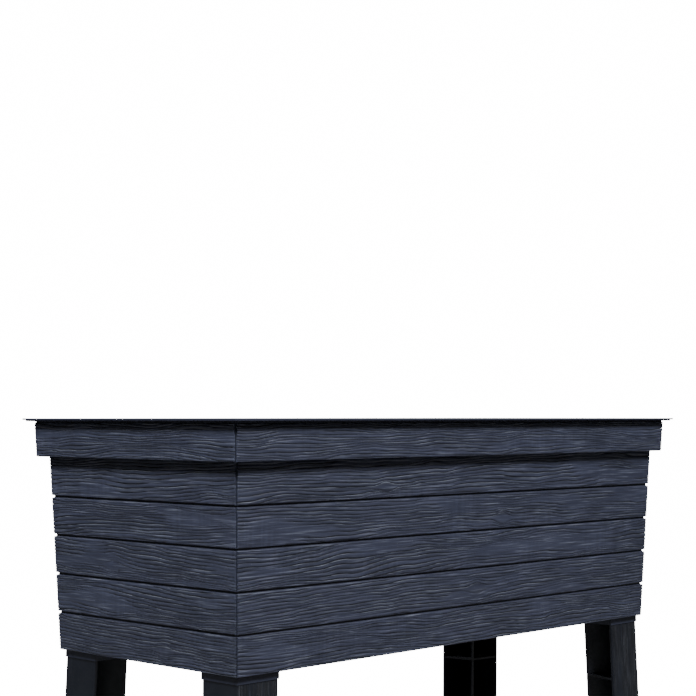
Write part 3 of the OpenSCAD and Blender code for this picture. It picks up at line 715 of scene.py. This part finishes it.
paint("gauge_float", foam())
rod_plastic = plastic(
    "rod_plastic", (0.62, 0.62, 0.59),
    Cloud=0.06, Specks=0.0, Dust=0.1, Rough_Low=0.34, Rough_High=0.44,
)[0]
paint("gauge_rod", rod_plastic)
flag_plastic = plastic(
    "flag_plastic", (0.55, 0.030, 0.020),
    Cloud=0.08, Specks=0.05, Dust=0.15, Rough_Low=0.30, Rough_High=0.40,
)[0]
paint("gauge_flag", flag_plastic)
clear_plastic = scuffed(
    "clear_plastic", (0.90, 0.93, 0.94), (0.80, 0.82, 0.84),
    rough=0.10, scuff_rough=0.3, amount=0.35, scale=1.0, clear=1.0,
)
paint("gauge_cap", clear_plastic)


# Drain: a black threaded fitting through the floor near the right end, drawn down on a rubber washer
# by a hexagonal nut. A lobed cap with a rubber seal screws over its end from below.
def rubber():
    """Moulded black rubber with a pale bloom."""
    material = bpy.data.materials.new("black_rubber")
    material.use_nodes = True
    tree = material.node_tree
    shader = tree.nodes["Principled BSDF"]
    place = tree.nodes.new("ShaderNodeTexCoord").outputs["Object"]
    bloom = noise_on(tree, place, 130.0, 5.0)
    pores = noise_on(tree, place, 1600.0, 2.0)
    pale = remap(tree, bloom, 0.45, 0.75, 0.0, 0.6)
    colour = blend_colours(tree, pale, (0.010, 0.010, 0.011, 1), (0.06, 0.06, 0.062, 1))
    tree.links.new(colour, shader.inputs["Base Color"])
    tree.links.new(remap(tree, bloom, 0.3, 0.7, 0.62, 0.86), shader.inputs["Roughness"])
    relief = add_node(tree, "ShaderNodeBump", {"Height": pores, "Distance": 0.00008, "Strength": 1.0})
    tree.links.new(relief.outputs[0], shader.inputs["Normal"])
    return material


black_rubber = rubber()
for node in ("drain_fitting", "drain_nut", "drain_cap"):
    paint(node, black_plastic)
for node in ("drain_washer", "drain_cap_seal"):
    paint(node, black_rubber)


# Studio: a plain white floor and surround. Softboxes stand high over the front and the left end, the
# front one a little stronger, so that the rim throws a deep shadow. Three weaker ones light the top,
# the rear and the right end.
white_strength = 16.0
dim_surround = 0.035
floor_shape = bmesh.new()
bmesh.ops.create_grid(floor_shape, x_segments=1, y_segments=1, size=9.0)
floor_mesh = bpy.data.meshes.new("floor")
floor_shape.to_mesh(floor_mesh)
floor_shape.free()
floor_material = bpy.data.materials.new("floor_white")
floor_material.use_nodes = True
floor_shader = floor_material.node_tree.nodes["Principled BSDF"]
floor_shader.inputs["Base Color"].default_value = (0.11, 0.11, 0.11, 1.0)
floor_shader.inputs["Roughness"].default_value = 0.9
floor_shader.inputs["Specular IOR Level"].default_value = 0.1
floor_shader.inputs["Emission Color"].default_value = (1.0, 1.0, 1.0, 1.0)
floor_seen = add_node(floor_material.node_tree, "ShaderNodeLightPath").outputs["Is Camera Ray"]
floor_glow = calc(floor_material.node_tree, "MULTIPLY", floor_seen, white_strength)
floor_material.node_tree.links.new(floor_glow, floor_shader.inputs["Emission Strength"])
floor_mesh.materials.append(floor_material)
floor = bpy.data.objects.new("floor", floor_mesh)
bpy.context.collection.objects.link(floor)


def softbox(name, location, aim, size, watts):
    """A rectangular area light at a place, turned to face its aim."""
    data = bpy.data.lights.new(name, "AREA")
    data.shape = "RECTANGLE"
    data.size, data.size_y = size
    data.energy = watts
    lamp = bpy.data.objects.new(name, data)
    lamp.location = location
    ahead = [there - here for there, here in zip(aim, location)]
    pitch = math.atan2(ahead[2], math.hypot(ahead[0], ahead[1]))
    lamp.rotation_euler = (math.pi / 2.0 + pitch, 0.0, math.atan2(-ahead[0], ahead[1]))
    bpy.context.collection.objects.link(lamp)


softbox("over_front", (-0.1, -2.2, 3.0), (-0.1, 0.0, 0.65), (0.9, 0.7), 166.0)
softbox("over_left", (-2.1, -0.4, 2.8), (-0.4, 0.0, 0.72), (0.7, 0.7), 128.0)
softbox("overhead", (0.0, 0.2, 3.0), (0.0, 0.0, 0.5), (2.0, 1.2), 30.0)
softbox("over_rear", (-0.3, 2.3, 3.0), (0.0, 0.0, 0.6), (1.0, 0.8), 110.0)
softbox("over_right", (2.7, 0.3, 3.0), (0.2, 0.0, 0.6), (0.8, 0.8), 90.0)
world = bpy.data.worlds.new("studio")
world.use_nodes = True
surround = world.node_tree
background = surround.nodes["Background"]
background.inputs["Color"].default_value = (1.0, 1.0, 1.0, 1.0)
seen = add_node(surround, "ShaderNodeLightPath").outputs["Is Camera Ray"]
strength = remap(surround, seen, 0.0, 1.0, dim_surround, white_strength)
surround.links.new(strength, background.inputs["Strength"])
bpy.context.scene.world = world
